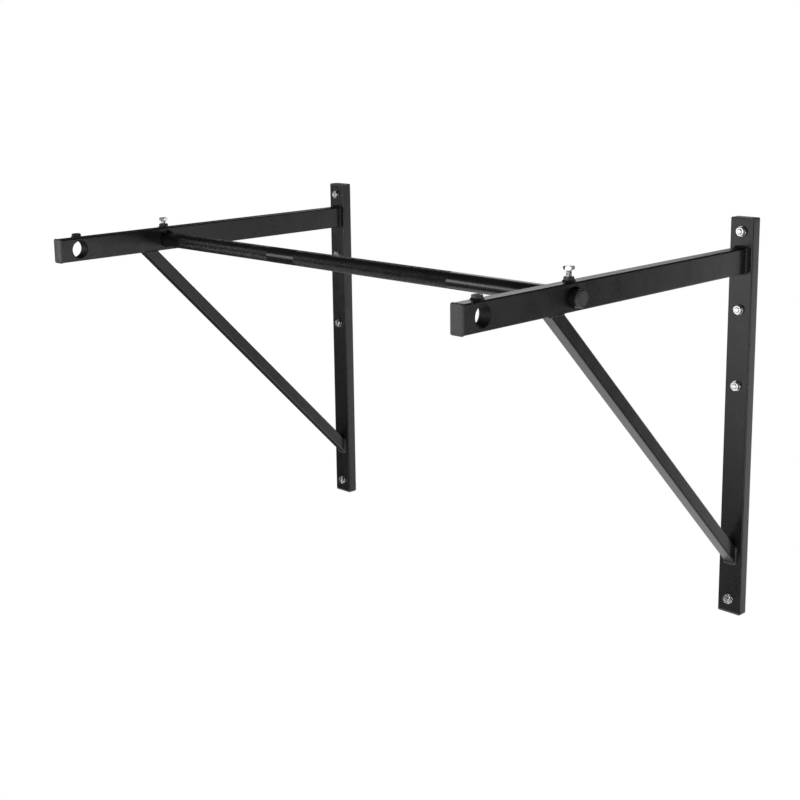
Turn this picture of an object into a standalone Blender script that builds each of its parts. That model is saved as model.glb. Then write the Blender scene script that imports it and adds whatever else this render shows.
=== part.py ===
"""Wall-mounted pull up bar: two triangular brackets of steel tube and one round bar.

The frame: X runs along the bar, -Y points from the wall to the arm tips, +Z is up. The origin is on
the wall plane, midway between the brackets, level with the bottoms of the uprights. All lengths are
in metres.
"""

import math

import bmesh
import bpy
from mathutils import Matrix, Vector

# Brackets
UPRIGHT_HEIGHT = 0.800  # with both end caps
BRACKET_SPACING = 1.150  # between the two brackets' middle planes
TUBE_LONG = 0.050  # the arms' and uprights' section is 50 x 25
TUBE_SHORT = 0.025  # and the braces' section is 25 x 25
TUBE_WALL = 0.002
TUBE_RADIUS = 0.003  # outer corner radius of every square and rectangular tube
ARM_REACH = 0.825  # from the wall to the front of the arm's cap
ARM_TOP_Z = 0.743
BRACE_FOOT_Z = 0.1065  # where the brace's lower face meets the upright; it rises at 45 degrees
CAP_FLANGE = 0.0045
ARM_CAP_OVERHANG = 0.0008
CAP_EDGE_RADIUS = 0.0022
CAP_INSERT_DEPTH = 0.012
CAP_WALL = 0.002
CAP_SHARPEST_CORNER = 0.0003
GAP = 0.0003  # clearance between pieces that touch
PRESS_GAP = 0.0003  # clearance of a plug in its tube

# Cross holes for the bar
REAR_HOLE_Y = -0.551
FRONT_HOLE_Y = -0.777
SLEEVE_OUTER_R = 0.020
SLEEVE_BORE_R = 0.018

# Bar
BAR_LENGTH = 1.200
BAR_R = 0.016
BAR_WALL = 0.002
PLUG_FLANGE = 0.005
PLUG_DEPTH = 0.014

# M10 hardware
THREAD_R = 0.005
HOLE_R = 0.0055
HEX_ACROSS_FLATS = 0.017
NUT_HEIGHT = 0.008
THIN_NUT_HEIGHT = 0.005
HEAD_HEIGHT = 0.0064
SCREW_LENGTH = 0.025
WASHER_R = 0.010
WASHER_THICKNESS = 0.002
STUD_PAST_NUT = 0.0015
FIXING_NUT_TURN = math.radians(23)  # from one fixing's nut to the next

# How far each lock screw stands back from the bar: the left one clamps it, the right one is loose.
LOCK_SCREW_BACK_OFF = {"left": 0.0, "right": 0.005}

# Heights of the wall fixings. The third one differs between the brackets.
FIXING_Z = {
    "left": (0.774, 0.622, 0.446, 0.031),
    "right": (0.774, 0.622, 0.471, 0.031),
}

# Worked out from the values above
BRACKET_X = {"left": -BRACKET_SPACING / 2, "right": BRACKET_SPACING / 2}
HOLE_Y = {"front": FRONT_HOLE_Y, "rear": REAR_HOLE_Y}
ARM_AXIS_Z = ARM_TOP_Z - TUBE_LONG / 2
BAR_AXIS_Z = ARM_AXIS_Z - SLEEVE_BORE_R + BAR_R + 2 * GAP  # the bar lies on the sleeves' lower side

ROUND_STEPS = 32
SMALL_ROUND_STEPS = 16
CORNER_STEPS = 3
QUARTER_TURN = math.radians(90)
OVERCUT = 0.010  # how far a cutter runs past the faces it cuts


def clear_scene():
    for old in list(bpy.data.objects):
        bpy.data.objects.remove(old)


def new_collection(name):
    made = bpy.data.collections.new(name)
    bpy.context.scene.collection.children.link(made)
    return made


def new_material(name, colour, roughness, metallic):
    made = bpy.data.materials.new(name)
    made.use_nodes = True
    shader = made.node_tree.nodes["Principled BSDF"]
    shader.inputs["Base Color"].default_value = (*colour, 1)
    shader.inputs["Roughness"].default_value = roughness
    shader.inputs["Metallic"].default_value = metallic
    return made


clear_scene()
PIECES = new_collection("pull_up_bar")
CUTTERS = new_collection("cutters")
CUTTERS.hide_render = True

POWDER_COAT = new_material("black_powder_coat", (0.018, 0.018, 0.019), 0.45, 0.0)
BAR_COAT = new_material("black_bar_coat", (0.014, 0.014, 0.015), 0.40, 0.0)
PLASTIC = new_material("black_plastic", (0.016, 0.016, 0.017), 0.50, 0.0)
ZINC = new_material("bright_zinc", (0.62, 0.63, 0.64), 0.28, 1.0)


# ---------------------------------------------------------------- meshes


def to_mesh(name, bm):
    bmesh.ops.recalc_face_normals(bm, faces=bm.faces)
    mesh = bpy.data.meshes.new(name)
    bm.to_mesh(mesh)
    bm.free()
    mesh.shade_smooth()
    mesh.set_sharp_from_angle(angle=math.radians(35))
    return mesh


def box_bmesh(size_x, size_y, size_z, corner_radius=0.0):
    """A box centred on the origin, with its four upright edges rounded."""
    bm = bmesh.new()
    bmesh.ops.create_cube(bm, size=1)
    bmesh.ops.scale(bm, vec=(size_x, size_y, size_z), verts=bm.verts)
    if corner_radius:
        upright_edges = [e for e in bm.edges if abs(e.verts[0].co.z - e.verts[1].co.z) > size_z / 2]
        bmesh.ops.bevel(
            bm,
            geom=upright_edges,
            offset=corner_radius,
            segments=CORNER_STEPS,
            profile=0.5,
            affect="EDGES",
        )
    return bm


def end_faces(bm, sign=0):
    """The faces that look along Z: both ends, or only the one on the side of the sign."""
    bm.normal_update()
    if sign:
        return [f for f in bm.faces if f.normal.z * sign > 0.9]
    return [f for f in bm.faces if abs(f.normal.z) > 0.9]


def tube_mesh(name, size_x, size_y, length):
    """The outer skin of a rectangular tube along Z, open at both ends."""
    bm = box_bmesh(size_x, size_y, length, TUBE_RADIUS)
    bmesh.ops.delete(bm, geom=end_faces(bm), context="FACES_ONLY")
    return to_mesh(name, bm)


def box_mesh(name, size):
    return to_mesh(name, box_bmesh(*size))


def cylinder_mesh(name, radius, length, steps, closed=True):
    bm = bmesh.new()
    bmesh.ops.create_cone(
        bm, cap_ends=closed, segments=steps, radius1=radius, radius2=radius, depth=length
    )
    return to_mesh(name, bm)


def hexagon_mesh(name, across_flats, height):
    return cylinder_mesh(name, across_flats / math.sqrt(3), height, 6)


def rounded_loop(bm, size_x, size_y, corner_radius, height):
    """Points round a rectangle with rounded corners, anticlockwise from above."""
    loop = []
    for corner, (side_x, side_y) in enumerate(((1, 1), (-1, 1), (-1, -1), (1, -1))):
        for step in range(CORNER_STEPS + 1):
            angle = QUARTER_TURN * (corner + step / CORNER_STEPS)
            x = side_x * (size_x / 2 - corner_radius) + corner_radius * math.cos(angle)
            y = side_y * (size_y / 2 - corner_radius) + corner_radius * math.sin(angle)
            loop.append(bm.verts.new((x, y, height)))
    return loop


def tube_cap_mesh(name, size_x, size_y, overhang=0.0):
    """A push-in cap: its flange, wider all round than the tube by the overhang, fills Z 0 to CAP_FLANGE,
    and its hollow insert hangs below."""
    profile = []  # (how far in from the tube's outline, height)
    for step in range(CORNER_STEPS + 1):
        angle = QUARTER_TURN * step / CORNER_STEPS
        inward = CAP_EDGE_RADIUS * (1 - math.sin(angle))
        profile.append((inward, CAP_FLANGE - CAP_EDGE_RADIUS * (1 - math.cos(angle))))
    insert = overhang + TUBE_WALL + PRESS_GAP
    profile += [(0, 0), (insert, 0), (insert, -CAP_INSERT_DEPTH)]
    profile += [(insert + CAP_WALL, -CAP_INSERT_DEPTH), (insert + CAP_WALL, -CAP_WALL)]

    bm = bmesh.new()
    loops = []
    for inward, height in profile:
        growth = overhang - inward
        corner_radius = max(TUBE_RADIUS + growth, CAP_SHARPEST_CORNER)
        loops.append(
            rounded_loop(bm, size_x + 2 * growth, size_y + 2 * growth, corner_radius, height)
        )
    bm.faces.new(loops[0])
    bm.faces.new(loops[-1])
    for upper, lower in zip(loops, loops[1:]):
        for i in range(len(upper)):
            bm.faces.new((upper[i - 1], upper[i], lower[i], lower[i - 1]))
    return to_mesh(name, bm)


def turned_mesh(name, profile):
    """The profile, points (radius, height) from the top to the bottom, as an edge chain for a Screw."""
    bm = bmesh.new()
    chain = [bm.verts.new((radius, 0, height)) for radius, height in profile]
    for upper, lower in zip(chain, chain[1:]):
        bm.edges.new((upper, lower))
    mesh = bpy.data.meshes.new(name)
    bm.to_mesh(mesh)
    bm.free()
    return mesh


# ---------------------------------------------------------------- objects and modifiers


def add(name, mesh, material, location=(0, 0, 0), rotation=(0, 0, 0)):
    made = bpy.data.objects.new(name, mesh)
    if not mesh.materials:
        mesh.materials.append(material)
    made.location = location
    made.rotation_euler = rotation
    PIECES.objects.link(made)
    return made


def add_helper(name, mesh, location, rotation=(0, 0, 0)):
    """A shape that only cuts, or is joined to, another one."""
    made = bpy.data.objects.new(name, mesh)
    made.location = location
    made.rotation_euler = rotation
    made.hide_render = True
    made.display_type = "WIRE"
    CUTTERS.objects.link(made)
    return made


def boolean(piece, helper, operation="DIFFERENCE"):
    modifier = piece.modifiers.new(helper.name, "BOOLEAN")
    modifier.operation = operation
    modifier.object = helper
    modifier.solver = "EXACT"


def thicken(piece, thickness):
    modifier = piece.modifiers.new("wall", "SOLIDIFY")
    modifier.thickness = thickness
    modifier.offset = -1
    modifier.use_even_offset = True


def turn(piece, steps):
    modifier = piece.modifiers.new("turn", "SCREW")
    modifier.steps = steps
    modifier.render_steps = steps
    modifier.use_merge_vertices = True
    modifier.merge_threshold = 0.00001
    modifier.use_smooth_shade = True


ALONG_X = (0, math.pi / 2, 0)  # turns a piece's +Z to +X
ALONG_Y = (math.pi / 2, 0, 0)  # turns a piece's +Z to -Y, and its +Y to +Z


# ---------------------------------------------------------------- bracket


def add_upright(side, x):
    length = UPRIGHT_HEIGHT - 2 * (CAP_FLANGE + GAP)
    upright = add(
        f"{side}_upright",
        tube_mesh(f"{side}_upright", TUBE_LONG, TUBE_SHORT, length),
        POWDER_COAT,
        (x, -TUBE_SHORT / 2, UPRIGHT_HEIGHT / 2),
    )
    thicken(upright, TUBE_WALL)
    for number, z in enumerate(FIXING_Z[side], 1):
        hole = add_helper(
            f"{side}_fixing_hole_{number}",
            cylinder_mesh("fixing_hole", HOLE_R, TUBE_SHORT + 2 * OVERCUT, SMALL_ROUND_STEPS),
            (x, -TUBE_SHORT / 2, z),
            ALONG_Y,
        )
        boolean(upright, hole)


def add_arm(side, x):
    rear, front = TUBE_SHORT + GAP, ARM_REACH - CAP_FLANGE - GAP
    arm = add(
        f"{side}_arm",
        tube_mesh(f"{side}_arm", TUBE_SHORT, TUBE_LONG, front - rear),
        POWDER_COAT,
        (x, -(front + rear) / 2, ARM_AXIS_Z),
        ALONG_Y,
    )
    thicken(arm, TUBE_WALL)
    for place, y in HOLE_Y.items():
        cross_hole = add_helper(
            f"{side}_{place}_cross_hole",
            cylinder_mesh("cross_hole", SLEEVE_OUTER_R + GAP, TUBE_SHORT + 2 * OVERCUT, ROUND_STEPS),
            (x, y, ARM_AXIS_Z),
            ALONG_X,
        )
        boolean(arm, cross_hole)
        boolean(arm, add_screw_hole(side, place, x, y))


def add_screw_hole(side, place, x, y):
    """Cuts the arm's top wall and the sleeve's upper side, from the sleeve's axis to above the arm."""
    height = TUBE_LONG / 2 + OVERCUT
    return add_helper(
        f"{side}_{place}_screw_hole",
        cylinder_mesh("screw_hole", HOLE_R, height, SMALL_ROUND_STEPS),
        (x, y, ARM_AXIS_Z + height / 2),
    )


def add_sleeve(side, place, x, y):
    """The tube across the arm that lines its cross hole."""
    name = f"{side}_{place}_sleeve"
    sleeve = add(
        name,
        cylinder_mesh(name, SLEEVE_OUTER_R, TUBE_SHORT, ROUND_STEPS, closed=False),
        POWDER_COAT,
        (x, y, ARM_AXIS_Z),
        ALONG_X,
    )
    thicken(sleeve, SLEEVE_OUTER_R - SLEEVE_BORE_R)
    boolean(sleeve, bpy.data.objects[f"{side}_{place}_screw_hole"])


def add_nut(name, height, material, location, rotation=(0, 0, 0)):
    """A hexagon nut whose under side is at the location, and which stands along its own +Z."""
    nut = add(name, hexagon_mesh(name, HEX_ACROSS_FLATS, height), material)
    nut.data.transform(Matrix.Translation((0, 0, height / 2)))
    nut.location = location
    nut.rotation_euler = rotation
    thread = add_helper(
        f"{name}_thread",
        cylinder_mesh("nut_thread", THREAD_R + GAP, height + 2 * OVERCUT, SMALL_ROUND_STEPS),
        location,
        rotation,
    )
    boolean(nut, thread)


def add_brace(side, x):
    """A square tube at 45 degrees, cut flush with the upright's front and the arm's under side."""
    arm_bottom = ARM_TOP_Z - TUBE_LONG
    run = arm_bottom - BRACE_FOOT_Z
    middle = Vector((x, -TUBE_SHORT - run / 2, BRACE_FOOT_Z + run / 2))
    to_axis = Vector((0, 1, 1)).normalized() * TUBE_SHORT / 2
    brace = add(
        f"{side}_brace",
        tube_mesh(f"{side}_brace", TUBE_SHORT, TUBE_SHORT, run * math.sqrt(2) + 4 * TUBE_SHORT),
        POWDER_COAT,
        middle + to_axis,
        (math.pi / 4, 0, 0),
    )
    thicken(brace, TUBE_WALL)
    block = 6 * TUBE_SHORT
    at_upright = add_helper(
        f"{side}_brace_cut_at_upright",
        box_mesh("brace_cut", (block, block, block)),
        (x, -TUBE_SHORT - GAP + block / 2, BRACE_FOOT_Z),
    )
    at_arm = add_helper(
        f"{side}_brace_cut_at_arm",
        at_upright.data,
        (x, -TUBE_SHORT - run, arm_bottom - GAP + block / 2),
    )
    boolean(brace, at_upright)
    boolean(brace, at_arm)


def add_caps(side, x):
    upright_cap = tube_cap_mesh("upright_cap", TUBE_LONG, TUBE_SHORT)
    arm_cap = tube_cap_mesh("arm_cap", TUBE_SHORT, TUBE_LONG, ARM_CAP_OVERHANG)
    middle_y = -TUBE_SHORT / 2
    top = (x, middle_y, UPRIGHT_HEIGHT - CAP_FLANGE)
    add(f"{side}_upright_top_cap", upright_cap, PLASTIC, top)
    bottom = (x, middle_y, CAP_FLANGE)
    add(f"{side}_upright_bottom_cap", upright_cap, PLASTIC, bottom, (math.pi, 0, 0))
    front = (x, CAP_FLANGE - ARM_REACH, ARM_AXIS_Z)
    add(f"{side}_arm_cap", arm_cap, PLASTIC, front, ALONG_Y)


def add_lock_screw(side, x):
    """A hexagon-head screw down through the rear weld nut. Turned right in, its tip presses on the bar."""
    tip = BAR_AXIS_Z + BAR_R + GAP + LOCK_SCREW_BACK_OFF[side]
    name = f"{side}_lock_screw"
    screw = add(name, hexagon_mesh(name, HEX_ACROSS_FLATS, HEAD_HEIGHT), ZINC)
    screw.data.transform(Matrix.Translation((0, 0, SCREW_LENGTH + HEAD_HEIGHT / 2)))
    screw.location = (x, REAR_HOLE_Y, tip)
    shank_length = SCREW_LENGTH + HEAD_HEIGHT / 2
    shank = add_helper(
        f"{name}_shank",
        cylinder_mesh("shank", THREAD_R, shank_length, SMALL_ROUND_STEPS),
        (x, REAR_HOLE_Y, tip + shank_length / 2),
    )
    boolean(screw, shank, "UNION")


def add_fixings(side, x):
    """Stud, washer and nut at each hole of the upright, the stud's rear end flush with the wall plane."""
    washer_y = -TUBE_SHORT - GAP
    nut_y = washer_y - WASHER_THICKNESS - GAP
    stud_length = -nut_y + THIN_NUT_HEIGHT + STUD_PAST_NUT
    for number, z in enumerate(FIXING_Z[side], 1):
        stud = f"{side}_fixing_stud_{number}"
        add(
            stud,
            cylinder_mesh(stud, THREAD_R, stud_length, SMALL_ROUND_STEPS),
            ZINC,
            (x, -stud_length / 2, z),
            ALONG_Y,
        )
        name = f"{side}_fixing_washer_{number}"
        washer = add(
            name,
            cylinder_mesh(name, WASHER_R, WASHER_THICKNESS, SMALL_ROUND_STEPS, closed=False),
            ZINC,
            (x, washer_y - WASHER_THICKNESS / 2, z),
            ALONG_Y,
        )
        thicken(washer, WASHER_R - THREAD_R - GAP)
        nut_turn = (math.pi / 2, number * FIXING_NUT_TURN, 0)
        add_nut(f"{side}_fixing_nut_{number}", THIN_NUT_HEIGHT, ZINC, (x, nut_y, z), nut_turn)


def add_bracket(side):
    x = BRACKET_X[side]
    add_upright(side, x)
    add_arm(side, x)
    add_brace(side, x)
    add_caps(side, x)
    for place, y in HOLE_Y.items():
        add_sleeve(side, place, x, y)
        top = (x, y, ARM_TOP_Z + GAP)
        add_nut(f"{side}_{place}_weld_nut", NUT_HEIGHT, POWDER_COAT, top)
    add_lock_screw(side, x)
    add_fixings(side, x)


# ---------------------------------------------------------------- bar


def add_bar():
    location = (0, REAR_HOLE_Y, BAR_AXIS_Z)
    bar = add(
        "bar",
        cylinder_mesh("bar", BAR_R, BAR_LENGTH, ROUND_STEPS, closed=False),
        BAR_COAT,
        location,
        ALONG_X,
    )
    thicken(bar, BAR_WALL)
    plug_mesh = turned_mesh("bar_plug", plug_profile())
    for side, direction in (("left", -1), ("right", 1)):
        plug = add(
            f"{side}_bar_plug",
            plug_mesh,
            PLASTIC,
            (direction * (BAR_LENGTH / 2 + GAP), REAR_HOLE_Y, BAR_AXIS_Z),
            (0, direction * math.pi / 2, 0),
        )
        turn(plug, ROUND_STEPS)


def plug_profile():
    """A domed flange over the bar's end, from its crown, and a round insert below it."""
    edge = 0.0015  # height of the flange's straight side
    steps = 6
    dome = []
    for step in range(steps + 1):
        angle = math.radians(90 * step / steps)
        dome.append((BAR_R * math.sin(angle), edge + (PLUG_FLANGE - edge) * math.cos(angle)))
    insert_r = BAR_R - BAR_WALL - PRESS_GAP
    return dome + [(BAR_R, 0), (insert_r, 0), (insert_r, -PLUG_DEPTH), (0, -PLUG_DEPTH)]


for bracket_side in BRACKET_X:
    add_bracket(bracket_side)
add_bar()
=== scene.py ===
import math

import bmesh
import bpy
from mathutils import Matrix, Vector


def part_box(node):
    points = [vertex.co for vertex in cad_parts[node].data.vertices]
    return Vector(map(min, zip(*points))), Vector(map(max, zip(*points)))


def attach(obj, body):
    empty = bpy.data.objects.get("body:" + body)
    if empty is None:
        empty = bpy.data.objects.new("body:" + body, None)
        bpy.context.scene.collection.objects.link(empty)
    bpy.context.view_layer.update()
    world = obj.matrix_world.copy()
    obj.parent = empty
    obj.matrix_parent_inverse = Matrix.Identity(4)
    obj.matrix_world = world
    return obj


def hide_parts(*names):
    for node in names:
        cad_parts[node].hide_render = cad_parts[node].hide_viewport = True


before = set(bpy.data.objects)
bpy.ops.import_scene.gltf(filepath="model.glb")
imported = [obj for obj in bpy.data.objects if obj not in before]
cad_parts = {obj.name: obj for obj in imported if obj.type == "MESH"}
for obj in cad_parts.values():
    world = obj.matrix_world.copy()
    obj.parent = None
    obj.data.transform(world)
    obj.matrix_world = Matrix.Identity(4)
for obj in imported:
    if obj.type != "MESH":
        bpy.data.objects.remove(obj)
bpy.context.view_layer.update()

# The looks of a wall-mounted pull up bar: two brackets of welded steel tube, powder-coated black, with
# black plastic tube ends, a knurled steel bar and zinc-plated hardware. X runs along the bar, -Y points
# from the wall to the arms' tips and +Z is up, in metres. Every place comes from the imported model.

MM = 0.001
SIDES = ("left", "right")
PLACES = ("front", "rear")
ALONG_BAR = Vector((1, 0, 0))
UP = Vector((0, 0, 1))
TO_WALL = Vector((0, 1, 0))
FULL_TURN = 2 * math.pi

# Steel tube
TUBE_CORNER = 3.0 * MM  # outer corner radius
TUBE_WALL = 2.0 * MM
CORNER_STEPS = 7
SOFT_EDGE = 0.45 * MM  # radius that blasting and the coat leave on a cut edge

# Tube ends
CAP_EDGE = 2.2 * MM
CAP_DOME = 0.8 * MM
ARM_CAP_OVERHANG = 0.8 * MM
CAP_INSET = 2.3 * MM  # from the tube's outline to the insert
CAP_WALL = 2.0 * MM
CAP_FLANGE = 4.5 * MM
CAP_INSERT = 12 * MM

# M10 hardware
ACROSS_FLATS = 17 * MM
SCREW_HEAD = 6.4 * MM
CLEARANCE = 0.5 * MM  # of a drilled hole round a screw or a stud
THREAD_SKIN = 0.1 * MM  # how near the thread's crest a point lies to be cut
THREAD_RADIUS = 5.0 * MM
THREAD_PITCH = 1.5 * MM
THREAD_DEPTH = 0.85 * MM
STATIONS_A_PITCH = 6
CHAMFER_SLOPE = math.tan(math.radians(30))
CHAMFER_SHARE = 0.94  # the chamfer's inner circle as a share of the width across flats
HEX_STEPS = 48  # a multiple of six, so that the corners fall on steps
THREAD_STEPS = 24
ROUND_STEPS = 72
FIXINGS = (1, 2, 3, 4)
NUT_TURN = math.radians(23)  # from one wall nut to the next

# Knurled bar
DIAMONDS_AROUND = 52
DIAMOND_LENGTH = 2.0 * MM
KNURL_DEPTH = 0.34 * MM
BAR_WALL = 2.0 * MM
GRIPS = ((-0.500, -0.196), (-0.110, 0.310))  # from and to, along X; the rest of the bar is smooth

# Welds
JOINT_BEAD = 4.0 * MM
NUT_BEAD = 3.2 * MM
RIPPLE_PITCH = 2.6 * MM


# ---------------------------------------------------------------- nodes


def add_node(tree, kind, inputs=None, **settings):
    """Adds a node. An input is a value, a socket to link from, or a node, which gives its first output."""
    made = tree.nodes.new(kind)
    for name, value in settings.items():
        setattr(made, name, value)
    for socket, value in (inputs or {}).items():
        if isinstance(value, bpy.types.Node):
            value = value.outputs[0]
        if isinstance(value, bpy.types.NodeSocket):
            tree.links.new(value, made.inputs[socket])
        else:
            made.inputs[socket].default_value = value
    return made


# ---------------------------------------------------------------- materials


def linear(code):
    """An sRGB hex colour as linear RGBA."""
    shares = [int(code[i : i + 2], 16) / 255 for i in (0, 2, 4)]
    return (*(c / 12.92 if c <= 0.04045 else ((c + 0.055) / 1.055) ** 2.4 for c in shares), 1)


def new_material(name, **constants):
    """A material with a Principled shader: its tree, its shader and the object coordinates."""
    made = bpy.data.materials.new(name)
    made.use_nodes = True
    tree = made.node_tree
    tree.nodes.clear()
    settings = {key.replace("_", " ").title(): value for key, value in constants.items()}
    shader = add_node(tree, "ShaderNodeBsdfPrincipled", settings)
    add_node(tree, "ShaderNodeOutputMaterial", {"Surface": shader})
    return made, tree, shader, add_node(tree, "ShaderNodeTexCoord").outputs["Object"]


def mottled(name, tones, gloss, cloud, grit, grit_height, **constants):
    """A finish whose tone and gloss drift in clouds, with a fine grit on its surface. Sizes in metres."""
    made, tree, shader, place = new_material(name, **constants)
    drift = add_node(
        tree, "ShaderNodeTexNoise", {"Vector": place, "Scale": 1 / cloud, "Detail": 3.0}
    )
    fine = add_node(
        tree, "ShaderNodeTexNoise", {"Vector": place, "Scale": 1 / grit, "Detail": 2.0}
    )
    both = add_node(tree, "ShaderNodeMath", {0: drift, 1: fine}, operation="ADD")
    share = add_node(tree, "ShaderNodeMapRange", {"Value": both, "From Min": 0.75, "From Max": 1.25})
    colour = add_node(tree, "ShaderNodeMix", {"Factor": share}, data_type="RGBA")
    for socket, tone in zip([s for s in colour.inputs if s.type == "RGBA"], tones):
        socket.default_value = linear(tone)
    tree.links.new(
        next(s for s in colour.outputs if s.type == "RGBA"), shader.inputs["Base Color"]
    )
    rough = add_node(
        tree, "ShaderNodeMapRange", {"Value": share, "To Min": gloss[0], "To Max": gloss[1]}
    )
    tree.links.new(rough.outputs[0], shader.inputs["Roughness"])
    bump = add_node(tree, "ShaderNodeBump", {"Height": both, "Distance": grit_height})
    tree.links.new(bump.outputs[0], shader.inputs["Normal"])
    return made


# Black polyester powder, sprayed on and baked: a satin film with a fine orange peel. Real peel is about
# 1.5 mm from crest to crest; it is drawn at 3 mm, because finer wouldn't show.
POWDER_COAT = mottled(
    "black_powder_coat_baked", ("1b1b1c", "222223"), (0.27, 0.33), 30 * MM, 3 * MM, 0.03 * MM
)
# The same powder on the turned and knurled bar, thinner and a little glossier.
BAR_COAT = mottled(
    "black_bar_coat_baked", ("1a1a1b", "222223"), (0.25, 0.31), 25 * MM, 3 * MM, 0.03 * MM
)
# Powder over a weld bead runs thin on the crests and pools beside them, so it is a little glossier; its
# tone is painted lighter as a painted highlight for the light the rounded bead catches.
WELD_COAT_PAINTED_HIGHLIGHT = mottled(
    "black_powder_coat_on_weld", ("262627", "343435"), (0.24, 0.32), 6 * MM, 1.5 * MM, 0.08 * MM
)
# The same powder on the sleeves: dull and rough, its tone painted darker as painted shade for the shadowed
# hollow of the bore.
BORE_COAT_PAINTED_SHADE = mottled(
    "black_powder_coat_thin_in_bore", ("08080a", "0e0e0f"), (0.58, 0.70), 8 * MM, 2 * MM, 0.06 * MM
)
# Injection-moulded black polyethylene with a spark-eroded matt skin, drawn at 1.2 mm for 0.3 mm.
PLASTIC = mottled(
    "black_polyethylene_moulded", ("4e4e4f", "585859"), (0.46, 0.56), 12 * MM, 1.2 * MM, 0.04 * MM
)
# Bright zinc, electroplated and clear-passivated: a metal mirror blurred by the rolled steel under it.
ZINC = mottled(
    "bright_zinc_electroplated",
    ("d2d5d7", "eeefef"),
    (0.22, 0.34),
    5 * MM,
    0.8 * MM,
    0.02 * MM,
    metallic=1.0,
)
# The studio's floor: a white acrylic sheet, lit from below so that it stays even.
FLOOR_WHITE = new_material(
    "white_acrylic_lit_from_below",
    base_color=linear("f4f4f3"),
    roughness=0.6,
    emission_color=linear("ffffff"),
    emission_strength=1.0,
)[0]


# ---------------------------------------------------------------- meshes


def rounded_rectangle(width, height, corner, steps=CORNER_STEPS):
    """(across, up) points round a rectangle with rounded corners, anticlockwise."""
    points = []
    for quarter, (side_a, side_b) in enumerate(((1, 1), (-1, 1), (-1, -1), (1, -1))):
        for step in range(steps + 1):
            angle = FULL_TURN / 4 * (quarter + step / steps)
            points.append(
                (
                    side_a * (width / 2 - corner) + corner * math.cos(angle),
                    side_b * (height / 2 - corner) + corner * math.sin(angle),
                )
            )
    return points


def skin(name, rings, closes=False, checkered=False):
    """A closed mesh through rings of points. It either fills its first and last ring or closes on itself.
    Checkered quads are split so that every second point is the top of a four-sided pyramid."""
    bm = bmesh.new()
    rows = [[bm.verts.new(point) for point in ring] for ring in rings]
    pairs = list(zip(rows, rows[1:] + rows[:1])) if closes else list(zip(rows, rows[1:]))
    for i, (first, second) in enumerate(pairs):
        for j in range(len(first)):
            a, b, c, d = first[j - 1], first[j], second[j], second[j - 1]
            if not checkered:
                bm.faces.new((a, b, c, d))
            elif (i + j) % 2:
                bm.faces.new((a, b, c))
                bm.faces.new((a, c, d))
            else:
                bm.faces.new((a, b, d))
                bm.faces.new((b, c, d))
    if not closes:
        bm.faces.new(rows[0])
        bm.faces.new(rows[-1])
    bmesh.ops.recalc_face_normals(bm, faces=bm.faces)
    mesh = bpy.data.meshes.new(name)
    bm.to_mesh(mesh)
    bm.free()
    return mesh


def turned_rings(profile, steps):
    """Rings round the Z axis. A profile entry is (radius, height), each a number or a list, one a step."""
    angles = [FULL_TURN * step / steps for step in range(steps)]
    rings = []
    for radius, height in profile:
        radii = radius if isinstance(radius, list) else [radius] * steps
        heights = height if isinstance(height, list) else [height] * steps
        rings.append([(r * math.cos(a), r * math.sin(a), z) for r, a, z in zip(radii, angles, heights)])
    return rings


def hexagon_radii():
    """The radius of the hexagon's outline at each step round it, with flats facing X."""
    radii = []
    for step in range(HEX_STEPS):
        from_flat = (360 * step / HEX_STEPS + 30) % 60 - 30
        radii.append(ACROSS_FLATS / 2 / math.cos(math.radians(from_flat)))
    return radii


def chamfered_hexagon(height, base=0.0):
    """Profile entries up a hexagon whose corners are turned away in a 30 degree chamfer at both ends."""
    outline = hexagon_radii()
    face = ACROSS_FLATS / 2 * CHAMFER_SHARE
    drops = [(r - face) * CHAMFER_SLOPE for r in outline]
    lower = [(face, base), (outline, [base + d for d in drops])]
    upper = [(outline, [base + (height - d) for d in drops]), (face, base + height)]
    return lower + upper


def stations(start, end, spacing):
    """Even places from start to end, about this far apart."""
    count = max(1, round(abs(end - start) / spacing))
    return [start + (end - start) * step / count for step in range(count + 1)]


# ---------------------------------------------------------------- pieces


def shown(name, mesh, material=None):
    made = bpy.data.objects.new(name, mesh)
    bpy.context.scene.collection.objects.link(made)
    if material:
        mesh.materials.clear()
        mesh.materials.append(material)
    return made


def plain(piece):
    """The piece as its modifiers leave it, as a plain mesh."""
    graph = bpy.context.evaluated_depsgraph_get()
    mesh = bpy.data.meshes.new_from_object(
        piece.evaluated_get(graph), preserve_all_data_layers=True, depsgraph=graph
    )
    name = piece.name
    bpy.data.objects.remove(piece)
    return shown(name, mesh)


def smooth(piece, degrees=35, weighted=True):
    piece.data.shade_smooth()
    piece.data.set_sharp_from_angle(angle=math.radians(degrees))
    if weighted:
        modifier = piece.modifiers.new("weighted", "WEIGHTED_NORMAL")
        modifier.keep_sharp = True
    return plain(piece)


def settle(piece, body, slot, *nodes):
    """Rides the finished piece on its body, in place of the nodes."""
    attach(piece, body)
    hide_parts(*nodes)


def middle(node):
    low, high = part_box(node)
    return (low + high) / 2


def side_lengths(node):
    low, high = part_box(node)
    return high - low


def drill(piece, centre, direction, radius, length):
    """Cuts a round hole by a Boolean, whose cutter is removed once the piece is plain."""
    turn = direction.to_track_quat("Z", "Y").to_matrix().to_4x4()
    mesh = skin("drill", turned_rings([(radius, -length / 2), (radius, length / 2)], ROUND_STEPS))
    mesh.transform(Matrix.Translation(centre) @ turn)
    cutter = shown("drill", mesh)
    cutter.hide_render = True
    cut = piece.modifiers.new("drill", "BOOLEAN")
    cut.object = cutter
    cut.solver = "EXACT"
    return cutter


def soften(piece):
    """Rounds the cut edges a little."""
    bevel = piece.modifiers.new("soft_edge", "BEVEL")
    bevel.width = SOFT_EDGE
    bevel.segments = 2
    bevel.limit_method = "ANGLE"
    bevel.angle_limit = math.radians(40)


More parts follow.
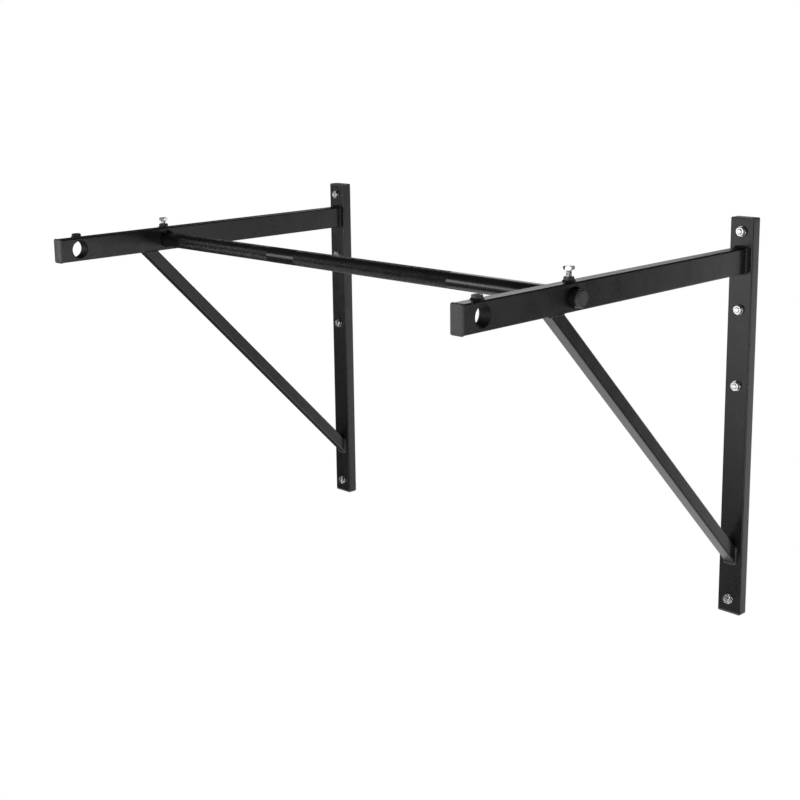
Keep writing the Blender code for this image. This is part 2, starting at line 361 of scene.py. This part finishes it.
def finish_steel(piece, cutters):
    """Softens a drilled piece, settles it as a plain mesh and clears its cutters away."""
    soften(piece)
    made = plain(piece)
    for cutter in cutters:
        bpy.data.objects.remove(cutter)
    return smooth(made, 30)


def tube_mesh(name, centre, across, upwards, width, height, ends):
    """A rectangular tube along across x upwards, cut off by two planes, each a point and a normal."""
    along = across.cross(upwards)
    outer = rounded_rectangle(width, height, TUBE_CORNER)
    inner = rounded_rectangle(
        width - 2 * TUBE_WALL, height - 2 * TUBE_WALL, TUBE_CORNER - TUBE_WALL
    )
    rings = []
    for outline, (point, normal) in zip((outer, outer, inner, inner), (*ends, *reversed(ends))):
        ring = []
        for a, b in outline:
            start = centre + a * across + b * upwards
            reach = (point - start).dot(normal) / along.dot(normal)
            ring.append(start + along * reach)
        rings.append(ring)
    return skin(name, rings, closes=True)


# ---------------------------------------------------------------- geometry trees


def new_tree(name, sizes):
    """A geometry tree with named inputs, (kind, value) by name. Gives the tree and its input node."""
    tree = bpy.data.node_groups.new(name, "GeometryNodeTree")
    tree.interface.new_socket("Geometry", in_out="INPUT", socket_type="NodeSocketGeometry")
    for label, (kind, value) in sizes.items():
        socket = tree.interface.new_socket(
            label, in_out="INPUT", socket_type="NodeSocket" + kind
        )
        if value is not None:
            socket.default_value = value
    tree.interface.new_socket("Geometry", in_out="OUTPUT", socket_type="NodeSocketGeometry")
    return tree, add_node(tree, "NodeGroupInput").outputs


def end_tree(tree, geometry, given):
    realized = add_node(tree, "GeometryNodeRealizeInstances", {"Geometry": geometry})
    painted = add_node(
        tree, "GeometryNodeSetMaterial", {"Geometry": realized, "Material": given["Material"]}
    )
    add_node(tree, "NodeGroupOutput", {"Geometry": painted})
    return tree


def run_tree(blank, tree, **values):
    """Adds the tree with these inputs, named in lower case with underscores, and settles its result."""
    modifier = blank.modifiers.new(tree.name, "NODES")
    modifier.node_group = tree
    for item in tree.interface.items_tree:
        key = item.name.lower().replace(" ", "_")
        if item.in_out == "INPUT" and key in values:
            modifier[item.identifier] = values[key]
    return plain(blank)


def triangle_wave(tree, phase):
    """0 at whole numbers and 1 half-way between them."""
    back = add_node(tree, "ShaderNodeMath", {0: phase, 1: 0.5}, operation="PINGPONG")
    return add_node(tree, "ShaderNodeMath", {0: back, 1: 2.0}, operation="MULTIPLY")


def polar(tree, across, upwards):
    """The distance from an axis and the turns round it, from two coordinates."""
    flat = add_node(tree, "ShaderNodeCombineXYZ", {0: across, 1: upwards})
    distance = add_node(tree, "ShaderNodeVectorMath", {0: flat}, operation="LENGTH")
    angle = add_node(tree, "ShaderNodeMath", {0: upwards, 1: across}, operation="ARCTAN2")
    turns = add_node(tree, "ShaderNodeMath", {0: angle, 1: FULL_TURN}, operation="DIVIDE")
    return distance.outputs["Value"], turns


def thread_tree():
    """Cuts a helical thread round Z into a turned piece's points between two heights and two radii."""
    tree, given = new_tree(
        "screw_thread",
        {
            "Pitch": ("Float", THREAD_PITCH),
            "Depth": ("Float", THREAD_DEPTH),
            "From Height": ("Float", 0.0),
            "To Height": ("Float", 1.0),
            "From Radius": ("Float", 0.0),
            "To Radius": ("Float", 1.0),
            "Material": ("Material", None),
        },
    )
    place = add_node(tree, "GeometryNodeInputPosition")
    xyz = add_node(tree, "ShaderNodeSeparateXYZ", {0: place}).outputs
    distance, turns = polar(tree, xyz["X"], xyz["Y"])
    rise = add_node(
        tree, "ShaderNodeMath", {0: xyz["Z"], 1: given["Pitch"]}, operation="DIVIDE"
    )
    phase = add_node(tree, "ShaderNodeMath", {0: rise, 1: turns}, operation="SUBTRACT")
    groove = add_node(
        tree,
        "ShaderNodeMath",
        {0: triangle_wave(tree, phase), 1: given["Depth"]},
        operation="MULTIPLY",
    )
    chosen = None
    for value, low, high in (
        (xyz["Z"], "From Height", "To Height"),
        (distance, "From Radius", "To Radius"),
    ):
        for more, less in ((value, given[low]), (given[high], value)):
            test = add_node(tree, "ShaderNodeMath", {0: more, 1: less}, operation="GREATER_THAN")
            chosen = test if chosen is None else add_node(
                tree, "ShaderNodeMath", {0: chosen, 1: test}, operation="MULTIPLY"
            )
    share = add_node(tree, "ShaderNodeMath", {0: groove, 1: distance}, operation="DIVIDE")
    inwards = add_node(
        tree, "ShaderNodeVectorMath", {0: place, 1: (-1.0, -1.0, 0.0)}, operation="MULTIPLY"
    )
    shift = add_node(
        tree, "ShaderNodeVectorMath", {0: inwards, "Scale": share.outputs[0]}, operation="SCALE"
    )
    cut = add_node(
        tree,
        "GeometryNodeSetPosition",
        {"Geometry": given["Geometry"], "Selection": chosen, "Offset": shift},
    )
    return end_tree(tree, cut, given)


def knurl_tree():
    """Rolls a diamond knurl into a bar along X: crossed grooves that leave four-sided points."""
    tree, given = new_tree(
        "diamond_knurl",
        {
            "Diamonds Around": ("Float", float(DIAMONDS_AROUND)),
            "Diamond Length": ("Float", DIAMOND_LENGTH),
            "Depth": ("Float", KNURL_DEPTH),
            "Inner Radius": ("Float", 0.0),
            "From Left": ("Float", 0.0),
            "To Right": ("Float", 1.0),
            "Patch Size": ("Float", 9 * MM),
            "Material": ("Material", None),
        },
    )
    place = add_node(tree, "GeometryNodeInputPosition")
    xyz = add_node(tree, "ShaderNodeSeparateXYZ", {0: place}).outputs
    distance, turns = polar(tree, xyz["Y"], xyz["Z"])
    around = add_node(
        tree, "ShaderNodeMath", {0: turns, 1: given["Diamonds Around"]}, operation="MULTIPLY"
    )
    along = add_node(
        tree, "ShaderNodeMath", {0: xyz["X"], 1: given["Diamond Length"]}, operation="DIVIDE"
    )
    grooves = [
        triangle_wave(tree, add_node(tree, "ShaderNodeMath", {0: along, 1: around}, operation=way))
        for way in ("ADD", "SUBTRACT")
    ]
    point = add_node(tree, "ShaderNodeMath", {0: grooves[0], 1: grooves[1]}, operation="MINIMUM")
    sunk = add_node(tree, "ShaderNodeMath", {0: 0.85, 1: point}, operation="SUBTRACT")
    # the rolls bite unevenly, in patches
    finer = add_node(tree, "ShaderNodeMath", {0: 1.0, 1: given["Patch Size"]}, operation="DIVIDE")
    patch = add_node(tree, "ShaderNodeTexNoise", {"Vector": place, "Scale": finer.outputs[0]})
    bite = add_node(
        tree, "ShaderNodeMapRange", {"Value": patch, "From Min": 0.3, "From Max": 0.7, "To Min": 0.65}
    )
    depth = add_node(
        tree, "ShaderNodeMath", {0: bite.outputs[0], 1: given["Depth"]}, operation="MULTIPLY"
    )
    inward = add_node(tree, "ShaderNodeMath", {0: sunk, 1: depth}, operation="MULTIPLY")
    share = add_node(tree, "ShaderNodeMath", {0: inward, 1: distance}, operation="DIVIDE")
    chosen = None
    for more, less in (
        (xyz["X"], given["From Left"]),
        (given["To Right"], xyz["X"]),
        (distance, given["Inner Radius"]),
    ):
        test = add_node(tree, "ShaderNodeMath", {0: more, 1: less}, operation="GREATER_THAN")
        chosen = test if chosen is None else add_node(
            tree, "ShaderNodeMath", {0: chosen, 1: test}, operation="MULTIPLY"
        )
    inwards = add_node(
        tree, "ShaderNodeVectorMath", {0: place, 1: (0.0, -1.0, -1.0)}, operation="MULTIPLY"
    )
    shift = add_node(
        tree, "ShaderNodeVectorMath", {0: inwards, "Scale": share.outputs[0]}, operation="SCALE"
    )
    cut = add_node(
        tree,
        "GeometryNodeSetPosition",
        {"Geometry": given["Geometry"], "Selection": chosen, "Offset": shift},
    )
    return end_tree(tree, cut, given)


def weld_tree():
    """Lays a rippled weld bead along every line of edges: a closed, slightly wandering roll of metal."""
    tree, given = new_tree(
        "weld_bead",
        {
            "Bead Radius": ("Float", JOINT_BEAD),
            "Ripple Pitch": ("Float", RIPPLE_PITCH),
            "Ripple Depth": ("Float", 0.14),
            "Wander": ("Float", 0.9 * MM),
            "Material": ("Material", None),
        },
    )
    path = add_node(tree, "GeometryNodeMeshToCurve", {"Mesh": given["Geometry"]})
    spacing = add_node(
        tree, "ShaderNodeMath", {0: given["Ripple Pitch"], 1: 5.0}, operation="DIVIDE"
    )
    fine = add_node(
        tree,
        "GeometryNodeResampleCurve",
        {"Curve": path, "Length": spacing.outputs[0]},
        mode="LENGTH",
    )
    place = add_node(tree, "GeometryNodeInputPosition")
    noise = add_node(tree, "ShaderNodeTexNoise", {"Vector": place, "Scale": 1 / (7 * MM)})
    centred = add_node(
        tree,
        "ShaderNodeVectorMath",
        {0: noise.outputs["Color"], 1: (0.5, 0.5, 0.5)},
        operation="SUBTRACT",
    )
    shift = add_node(
        tree,
        "ShaderNodeVectorMath",
        {0: centred, "Scale": given["Wander"]},
        operation="SCALE",
    )
    moved = add_node(tree, "GeometryNodeSetPosition", {"Geometry": fine, "Offset": shift})
    travelled = add_node(tree, "GeometryNodeSplineParameter").outputs["Length"]
    count = add_node(
        tree, "ShaderNodeMath", {0: travelled, 1: given["Ripple Pitch"]}, operation="DIVIDE"
    )
    ripple = add_node(
        tree,
        "ShaderNodeMath",
        {0: triangle_wave(tree, count), 1: given["Ripple Depth"]},
        operation="MULTIPLY",
    )
    swell = add_node(
        tree, "ShaderNodeMath", {0: noise.outputs[0], 1: 0.5}, operation="MULTIPLY"
    )
    girth = add_node(tree, "ShaderNodeMath", {0: ripple, 1: swell}, operation="ADD")
    girth = add_node(tree, "ShaderNodeMath", {0: girth, 1: 0.65}, operation="ADD")
    section = add_node(
        tree, "GeometryNodeCurvePrimitiveCircle", {"Resolution": 12, "Radius": given["Bead Radius"]}
    )
    bead = add_node(
        tree,
        "GeometryNodeCurveToMesh",
        {"Curve": moved, "Profile Curve": section, "Scale": girth.outputs[0], "Fill Caps": True},
    )
    return end_tree(tree, bead, given)


def row_tree():
    """Sets a copy of one piece at every point, turned about Y by the point's own angle."""
    tree, given = new_tree("row_of_fixings", {"Piece": ("Object", None), "Material": ("Material", None)})
    piece = add_node(tree, "GeometryNodeObjectInfo", {"Object": given["Piece"]})
    turn = add_node(
        tree, "GeometryNodeInputNamedAttribute", {"Name": "turn"}, data_type="FLOAT"
    )
    angles = add_node(tree, "ShaderNodeCombineXYZ", {"Y": turn.outputs["Attribute"]})
    copies = add_node(
        tree,
        "GeometryNodeInstanceOnPoints",
        {
            "Points": given["Geometry"],
            "Instance": piece.outputs["Geometry"],
            "Rotation": angles,
        },
    )
    return end_tree(tree, copies, given)


SCREW_THREAD = thread_tree()
DIAMOND_KNURL = knurl_tree()
WELD_BEAD = weld_tree()
ROW = row_tree()


# ---------------------------------------------------------------- brackets


def make_upright(side):
    node = f"{side}_upright"
    low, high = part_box(node)
    size, centre = high - low, (low + high) / 2
    mesh = tube_mesh(node, centre, ALONG_BAR, TO_WALL, size.x, size.y, ((low, UP), (high, UP)))
    piece = shown(f"{node}_finished", mesh, POWDER_COAT)
    cutters = []
    for number in FIXINGS:
        hole = middle(f"{side}_fixing_nut_{number}")
        hole.y = centre.y
        cutters.append(drill(piece, hole, TO_WALL, THREAD_RADIUS + CLEARANCE, 2 * size.y))
    settle(finish_steel(piece, cutters), "brackets", "powder_coat", node)


def make_arm(side):
    node = f"{side}_arm"
    low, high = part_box(node)
    size, centre = high - low, (low + high) / 2
    mesh = tube_mesh(node, centre, UP, ALONG_BAR, size.z, size.x, ((low, TO_WALL), (high, TO_WALL)))
    piece = shown(f"{node}_finished", mesh, POWDER_COAT)
    cutters = []
    for place in PLACES:
        sleeve = middle(f"{side}_{place}_sleeve")
        radius = side_lengths(f"{side}_{place}_sleeve").z / 2
        cutters.append(drill(piece, sleeve, ALONG_BAR, radius, 2 * size.x))
        cutters.append(
            drill(piece, sleeve + UP * size.z / 2, UP, THREAD_RADIUS + CLEARANCE, 2 * TUBE_CORNER)
        )
    settle(finish_steel(piece, cutters), "brackets", "powder_coat", node)


def make_brace(side):
    """A square tube that rises at 45 degrees, cut flat against the upright and under the arm."""
    node = f"{side}_brace"
    low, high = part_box(node)
    along = Vector((0, -1, 1)).normalized()
    width = high.x - low.x
    # its lower face is the diagonal of its box, so its middle lies half a side above that
    centre = (low + high) / 2 + width / 2 * Vector((0, 1, 1)).normalized()
    ends = ((high, TO_WALL), (high, UP))
    mesh = tube_mesh(node, centre, ALONG_BAR, along.cross(ALONG_BAR), width, width, ends)
    piece = finish_steel(shown(f"{node}_finished", mesh, POWDER_COAT), [])
    settle(piece, "brackets", "powder_coat", node)


def make_sleeve(side, place):
    """A turned steel bush across the arm, its lips rounded, with the lock screw's hole in its top."""
    node = f"{side}_{place}_sleeve"
    size = side_lengths(node)
    outer, half = size.z / 2, size.x / 2
    bore, lip = outer - TUBE_WALL, 0.5 * MM
    profile = []
    for sign in (-1, 1):
        entries = [
            (bore, half - lip),
            (bore + 0.15 * lip, half - 0.4 * lip),
            (bore + 0.5 * lip, half - 0.1 * lip),
            (bore + lip, half),
            (outer - lip, half),
            (outer - 0.3 * lip, half - 0.15 * lip),
            (outer, half - lip),
        ]
        profile += [(r, sign * z) for r, z in (entries if sign < 0 else reversed(entries))]
    mesh = skin(node, turned_rings(profile, ROUND_STEPS), closes=True)
    mesh.transform(Matrix.Translation(middle(node)) @ Matrix.Rotation(FULL_TURN / 4, 4, "Y"))
    # the sleeve's near-black coat is painted shade for its dark bore
    piece = shown(f"{node}_finished", mesh, BORE_COAT_PAINTED_SHADE)
    cutter = drill(piece, middle(node) + UP * outer, UP, THREAD_RADIUS + 0.3 * MM, 4 * TUBE_WALL)
    made = plain(piece)
    bpy.data.objects.remove(cutter)
    settle(smooth(made, 40), "brackets", "powder_coat", node)


def nut_rings(height, bore):
    """A hexagon nut from Z 0 to its height, with chamfered corners and a countersunk bore."""
    sink = 0.6 * MM
    inside = [
        (bore + sink, height),
        *((bore, z) for z in stations(height - sink, sink, THREAD_PITCH / STATIONS_A_PITCH)),
        (bore + sink, 0.0),
    ]
    return turned_rings(chamfered_hexagon(height) + inside, HEX_STEPS)


def make_weld_nut(side, place):
    node = f"{side}_{place}_weld_nut"
    low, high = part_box(node)
    height = high.z - low.z
    piece = shown(
        f"{node}_finished",
        skin(node, nut_rings(height, THREAD_RADIUS), closes=True),
        POWDER_COAT,
    )
    piece = run_tree(
        piece,
        SCREW_THREAD,
        from_height=1.0 * MM,
        to_height=height - 1.0 * MM,
        to_radius=THREAD_RADIUS + THREAD_SKIN,
        depth=-THREAD_DEPTH,  # outwards, into the nut
        material=POWDER_COAT,
    )
    centre = middle(node)
    turn = Matrix.Rotation(math.radians(30), 4, "Z")
    piece.data.transform(Matrix.Translation((centre.x, centre.y, low.z)) @ turn)
    settle(smooth(piece, 28, weighted=False), "brackets", "powder_coat", node)


def make_lock_screw(side):
    """A hexagon-head screw threaded nearly to its head, with an undercut neck and a chamfered tip."""
    node = f"{side}_lock_screw"
    low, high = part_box(node)
    centre = middle(node)
    neck = high.z - low.z - SCREW_HEAD
    tip = 1.0 * MM
    shank = [(THREAD_RADIUS - tip, 0.0)]
    shank += [
        (THREAD_RADIUS, z) for z in stations(tip, neck - tip, THREAD_PITCH / STATIONS_A_PITCH)
    ]
    shank += [(THREAD_RADIUS - 0.4 * MM, neck), (ACROSS_FLATS / 2 * 0.93, neck)]
    rings = turned_rings(shank + chamfered_hexagon(SCREW_HEAD, base=neck), HEX_STEPS)
    piece = shown(f"{node}_finished", skin(node, rings), ZINC)
    piece = run_tree(
        piece,
        SCREW_THREAD,
        from_height=0.5 * tip,
        to_height=neck - 1.5 * tip,
        from_radius=THREAD_RADIUS - THREAD_SKIN,
        material=ZINC,
    )
    piece.data.transform(Matrix.Translation((centre.x, centre.y, low.z)))
    settle(smooth(piece, 28, weighted=False), node, "zinc", node)


def cap_mesh(name, width, height, overhang):
    """A push-in tube end: a domed face with a soft rim on +Z, and a hollow insert hanging below Z 0."""
    inset = overhang + CAP_INSET
    profile = []
    steps = 6
    for step in range(steps, 0, -1):
        inward = CAP_EDGE + (width / 2 - 1.5 * CAP_EDGE) * step / steps
        share = step / steps
        profile.append((inward, CAP_FLANGE + CAP_DOME * (1 - (1 - share) ** 2)))
    for step in range(steps + 1):
        angle = FULL_TURN / 4 * step / steps
        rim = CAP_FLANGE - CAP_EDGE * (1 - math.cos(angle))
        profile.append((CAP_EDGE * (1 - math.sin(angle)), rim))
    profile += [(0, 0), (inset, 0), (inset, -CAP_INSERT)]
    profile += [(inset + CAP_WALL, -CAP_INSERT), (inset + CAP_WALL, -CAP_WALL)]
    rings = []
    for inward, z in profile:
        outline = rounded_rectangle(
            width - 2 * inward,
            height - 2 * inward,
            max(TUBE_CORNER + overhang - inward, 0.4 * MM),
        )
        rings.append([(x, y, z) for x, y in outline])
    return skin(name, rings)


def make_cap(node, facing):
    low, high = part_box(node)
    size = high - low
    outward = Vector(facing)
    seat = (low + high) / 2 + outward * ((CAP_INSERT - CAP_FLANGE) / 2)
    if abs(outward.y):
        mesh = cap_mesh(node, size.x, size.z, ARM_CAP_OVERHANG)
        turn = Matrix.Rotation(FULL_TURN / 4, 4, "X")
    else:
        mesh = cap_mesh(node, size.y, size.x, 0.0)
        turn = Matrix.Rotation(FULL_TURN / 4, 4, "Z")
        if outward.z < 0:
            turn = Matrix.Rotation(FULL_TURN / 2, 4, "X") @ turn
    mesh.transform(Matrix.Translation(seat) @ turn)
    piece = shown(f"{node}_finished", mesh, PLASTIC)
    settle(smooth(piece, 40), "brackets", "plastic", node)


def weld_paths(name, paths, **sizes):
    """One piece with a bead along each path. A path is a list of points and whether it closes."""
    bm = bmesh.new()
    for points, closed in paths:
        line = [bm.verts.new(point) for point in points]
        for first, second in zip(line, line[1:] + line[:1] if closed else line[1:]):
            bm.edges.new((first, second))
    mesh = bpy.data.meshes.new(name)
    bm.to_mesh(mesh)
    bm.free()
    # the beads get the weld coat, whose lighter tone is a painted highlight
    piece = run_tree(shown(name, mesh), WELD_BEAD, material=WELD_COAT_PAINTED_HIGHLIGHT, **sizes)
    bm = bmesh.new()
    bm.from_mesh(piece.data)
    bmesh.ops.recalc_face_normals(bm, faces=bm.faces)
    bm.to_mesh(piece.data)
    bm.free()
    piece = smooth(piece, 60, weighted=False)
    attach(piece, "brackets")


def loop_in_plane(centre, across, upwards, width, height, corner):
    return [
        centre + a * across + b * upwards for a, b in rounded_rectangle(width, height, corner, 3)
    ]


def make_welds(side):
    upright_low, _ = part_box(f"{side}_upright")
    face_y = upright_low.y
    arm_low, arm_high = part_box(f"{side}_arm")
    arm_size, arm_mid = arm_high - arm_low, (arm_low + arm_high) / 2
    brace_low, brace_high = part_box(f"{side}_brace")
    brace_width = brace_high.x - brace_low.x
    slant = brace_width * math.sqrt(2)  # a 45 degree cut through the brace
    sink = 0.15 * JOINT_BEAD  # how far a bead's middle lies inside the corner

    arm_joint = loop_in_plane(
        Vector((arm_mid.x, face_y, arm_mid.z)),
        ALONG_BAR,
        UP,
        arm_size.x - sink,
        arm_size.z - sink,
        TUBE_CORNER,
    )
    foot = Vector((arm_mid.x, face_y, brace_low.z + slant / 2))
    foot_joint = loop_in_plane(
        foot, ALONG_BAR, UP, brace_width - sink, slant - sink, TUBE_CORNER
    )
    weld_paths(f"{side}_upright_welds", [(arm_joint, True), (foot_joint, True)])

    head = Vector((arm_mid.x, brace_low.y + slant / 2, arm_low.z))
    across = brace_width - 2.2 * TUBE_CORNER
    ends = []
    for sign in (-1, 1):
        y = head.y + sign * (slant / 2 - 0.1 * JOINT_BEAD)
        ends.append(
            ([Vector((head.x + across * (s / 6 - 0.5), y, head.z)) for s in range(7)], False)
        )
    for sign in (-1, 1):
        x = head.x + sign * (brace_width / 2 - 0.62 * JOINT_BEAD)
        ends.append(
            ([Vector((x, head.y + slant * (s / 8 - 0.5) * 0.92, head.z)) for s in range(9)], False)
        )
    weld_paths(f"{side}_brace_head_welds", ends, bead_radius=0.75 * JOINT_BEAD, wander=0.6 * MM)

    rings = []
    for place in PLACES:
        centre = middle(f"{side}_{place}_weld_nut")
        radius = ACROSS_FLATS / 2 * 0.98
        angles = [FULL_TURN * step / 24 for step in range(24)]
        rings.append(
            (
                [
                    Vector(
                        (centre.x + radius * math.cos(a), centre.y + radius * math.sin(a), arm_high.z)
                    )
                    for a in angles
                ],
                True,
            )
        )
    weld_paths(f"{side}_nut_welds", rings, bead_radius=NUT_BEAD, wander=1.4 * MM, ripple_depth=0.2)


# ---------------------------------------------------------------- wall fixings


def make_fixings(side):
    """Studs, washers and nuts down the upright, each kind one piece, set in rows."""
    first = f"{side}_fixing_%s_1"
    stud_low, stud_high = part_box(first % "stud")
    length = stud_high.y - stud_low.y
    washer, nut = side_lengths(first % "washer"), side_lengths(first % "nut")
    lip = 0.3 * MM
    washer_bore = THREAD_RADIUS + 0.3 * MM
    washer_profile = [
        (washer_bore, 0.0),
        (washer.x / 2 - lip, 0.0),
        (washer.x / 2, lip),
        (washer.x / 2, washer.y - lip),
        (washer.x / 2 - lip, washer.y),
        (washer_bore + lip, washer.y),
        (washer_bore, washer.y - lip),
    ]
    threaded = 20 * MM
    tip = 0.9 * MM
    stud_profile = [(THREAD_RADIUS, 0.0), (THREAD_RADIUS, length - threaded)]
    stud_profile += [
        (THREAD_RADIUS, z)
        for z in stations(length - threaded, length - tip, THREAD_PITCH / STATIONS_A_PITCH)[1:]
    ]
    stud_profile += [(THREAD_RADIUS - tip, length)]
    kinds = {
        "stud": skin("stud", turned_rings(stud_profile, THREAD_STEPS)),
        "washer": skin("washer", turned_rings(washer_profile, ROUND_STEPS), closes=True),
        "nut": skin("nut", nut_rings(nut.y, THREAD_RADIUS + 0.1 * MM), closes=True),
    }
    for kind, mesh in kinds.items():
        sample = shown(f"{side}_{kind}_sample", mesh, ZINC)
        if kind == "stud":
            sample = run_tree(
                sample,
                SCREW_THREAD,
                from_height=length - threaded,
                to_height=length - 0.5 * tip,
                from_radius=THREAD_RADIUS - THREAD_SKIN,
                material=ZINC,
            )
        # heights above the sample's base become distances from the wall
        sample.data.transform(Matrix.Rotation(FULL_TURN / 4, 4, "X"))
        sample = smooth(sample, 28, weighted=False)
        nodes = [f"{side}_fixing_{kind}_{number}" for number in FIXINGS]
        row = bpy.data.meshes.new(f"{side}_{kind}_row")
        places = [Vector((middle(node).x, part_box(node)[1].y, middle(node).z)) for node in nodes]
        row.from_pydata(places, [], [])
        turns = row.attributes.new("turn", "FLOAT", "POINT")
        for number, value in zip(FIXINGS, turns.data):
            value.value = NUT_TURN * number
        piece = run_tree(
            shown(f"{side}_fixing_{kind}s_finished", row), ROW, piece=sample, material=ZINC
        )
        bpy.data.objects.remove(sample)
        settle(piece, "brackets", "zinc", *nodes)


# ---------------------------------------------------------------- bar


def make_bar():
    low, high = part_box("bar")
    radius, centre = (high.z - low.z) / 2, (low + high) / 2
    inner = radius - BAR_WALL
    lip = 0.8 * MM
    half_diamond = DIAMOND_LENGTH / 2
    places = [low.x, low.x + lip]
    for start, end in GRIPS:
        first, last = round(start / half_diamond), round(end / half_diamond)
        # two plain rings beyond each end keep the knurl out of the smooth steel
        places += [step * half_diamond for step in range(first - 2, last + 3)]
    places += [high.x - lip, high.x]
    steps = 2 * DIAMONDS_AROUND
    rings = []
    for x in places:
        r = radius - lip if x in (low.x, high.x) else radius
        rings.append((r, x))
    rings += [(inner, high.x), (inner, low.x)]
    mesh = skin("bar", turned_rings(rings, steps), closes=True, checkered=True)
    # +Z of the turned rings becomes +X, and their +X becomes +Y
    mesh.transform(Matrix(((0, 0, 1, 0), (1, 0, 0, 0), (0, 1, 0, 0), (0, 0, 0, 1))))
    piece = shown("bar_finished", mesh, BAR_COAT)
    for start, end in GRIPS:
        piece = run_tree(
            piece,
            DIAMOND_KNURL,
            from_left=start - half_diamond / 2,
            to_right=end + half_diamond / 2,
            inner_radius=inner + BAR_WALL / 4,
            material=BAR_COAT,
        )
    piece.data.transform(Matrix.Translation((0, centre.y, centre.z)))
    settle(smooth(piece, 18, weighted=False), "bar", "bar_coat", "bar")


def make_bar_plug(side):
    """A push-in plug: a turned-looking face with a chamfer, a shallow ring and an insert behind it."""
    node = f"{side}_bar_plug"
    low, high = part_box(node)
    sign = -1 if side == "left" else 1
    radius = (high.z - low.z) / 2
    flange, total = 5 * MM, high.x - low.x
    insert = radius - BAR_WALL - 0.3 * MM
    face = [
        (0.30 * radius, flange - 0.2 * MM),
        (0.66 * radius, flange - 0.25 * MM),
        (0.70 * radius, flange - 0.5 * MM),
        (0.75 * radius, flange - 0.5 * MM),
        (0.79 * radius, flange),
        (0.86 * radius, flange),
        (0.89 * radius, flange - 0.3 * MM),
        (0.97 * radius, flange - 1.7 * MM),
        (radius, flange - 2.4 * MM),
        (radius, 0.2 * MM),
        (radius - 0.2 * MM, 0.0),
        (insert, 0.0),
        (insert, flange - total + 1 * MM),
        (insert - 1 * MM, flange - total),
        (insert - 2.5 * MM, flange - total),
        (insert - 2.5 * MM, -2 * MM),
    ]
    mesh = skin(node, turned_rings(face, ROUND_STEPS))
    turn = Matrix.Rotation(sign * FULL_TURN / 4, 4, "Y")
    outer_x = high.x if sign > 0 else low.x
    seat = Vector((outer_x - sign * flange, (low.y + high.y) / 2, (low.z + high.z) / 2))
    mesh.transform(Matrix.Translation(seat) @ turn)
    settle(smooth(shown(f"{node}_finished", mesh, PLASTIC), 30), "bar", "plastic", node)


for side in SIDES:
    make_upright(side)
    make_arm(side)
    make_brace(side)
    make_cap(f"{side}_upright_top_cap", (0, 0, 1))
    make_cap(f"{side}_upright_bottom_cap", (0, 0, -1))
    make_cap(f"{side}_arm_cap", (0, -1, 0))
    for place in PLACES:
        make_sleeve(side, place)
        make_weld_nut(side, place)
    make_welds(side)
    make_lock_screw(side)
    make_fixings(side)
    make_bar_plug(side)
make_bar()


# ---------------------------------------------------------------- stage, light and camera

FLOOR_Z = -1.00
CENTRE = Vector((0.0, -0.40, 0.45))


def make_floor():
    """A pale floor well below the piece, which hangs free as it does on its wall."""
    half = 1.3
    low, high = Vector((-half, -half, FLOOR_Z - 0.02)), Vector((half, 0.9 * half, FLOOR_Z))
    outline = [(low.x, low.y), (high.x, low.y), (high.x, high.y), (low.x, high.y)]
    mesh = skin("floor", [[(x, y, z) for x, y in outline] for z in (low.z, high.z)])
    shown("floor", mesh, FLOOR_WHITE)


def softbox(name, azimuth, elevation, distance, width, height, brightness):
    """A soft light aimed at the centre, this many times as bright as the white background.
    Azimuth 0 is in front of the arms and 90 on the right."""
    lamp = bpy.data.lights.new(name, "AREA")
    lamp.shape = "RECTANGLE"
    lamp.size, lamp.size_y = width, height
    lamp.energy = brightness * math.pi * width * height
    made = bpy.data.objects.new(name, lamp)
    bpy.context.scene.collection.objects.link(made)
    a, e = math.radians(azimuth), math.radians(elevation)
    towards = Vector((math.sin(a) * math.cos(e), -math.cos(a) * math.cos(e), math.sin(e)))
    made.matrix_world = (
        Matrix.Translation(CENTRE + towards * distance)
        @ towards.to_track_quat("Z", "Y").to_matrix().to_4x4()
    )
    made.visible_camera = False


def make_world():
    """White for the camera and a dimmer even light for everything else."""
    world = bpy.data.worlds.new("studio")
    bpy.context.scene.world = world
    world.use_nodes = True
    tree = world.node_tree
    tree.nodes.clear()
    white = add_node(tree, "ShaderNodeBackground", {"Color": linear("ffffff"), "Strength": 1.0})
    dim = add_node(tree, "ShaderNodeBackground", {"Color": linear("ffffff"), "Strength": 0.05})
    ray = add_node(tree, "ShaderNodeLightPath").outputs["Is Camera Ray"]
    mixed = add_node(tree, "ShaderNodeMixShader", {0: ray, 1: dim, 2: white})
    add_node(tree, "ShaderNodeOutputWorld", {"Surface": mixed})


def make_camera():
    yaw, pitch, roll = (math.radians(a) for a in (46.455, 11.137, -0.955))
    back = Vector(
        (math.sin(yaw) * math.cos(pitch), -math.cos(yaw) * math.cos(pitch), math.sin(pitch))
    )
    level = Vector((math.cos(yaw), math.sin(yaw), 0))
    above = back.cross(level)
    right = math.cos(roll) * level + math.sin(roll) * above
    upwards = math.cos(roll) * above - math.sin(roll) * level
    lens = bpy.data.cameras.new("camera")
    lens.sensor_width, lens.lens = 36.0, 61.97
    lens.shift_x, lens.shift_y = 0.0333, -0.0941
    made = bpy.data.objects.new("camera", lens)
    bpy.context.scene.collection.objects.link(made)
    turn = Matrix((right, upwards, back)).transposed().to_4x4()
    made.matrix_world = Matrix.Translation((1.981, -2.335, 1.118)) @ turn
    bpy.context.scene.camera = made


make_floor()
make_world()
make_camera()
softbox("key", -40, 5, 3.2, 1.3, 1.1, 4.4)
softbox("front", -22, -7, 3.4, 0.8, 1.7, 2.3)
softbox("fill", 20, 0, 3.4, 1.4, 1.2, 5.0)
softbox("low_right", 70, -14, 3.3, 1.8, 1.0, 3.0)
softbox("back_right", 158, -13, 3.3, 1.6, 1.8, 1.7)
softbox("inner", 120, -7, 7.5, 1.5, 1.6, 3.4)
softbox("backdrop", -146, 32, 3.3, 1.8, 1.4, 2.2)
bpy.context.scene.view_settings.view_transform = "Standard"
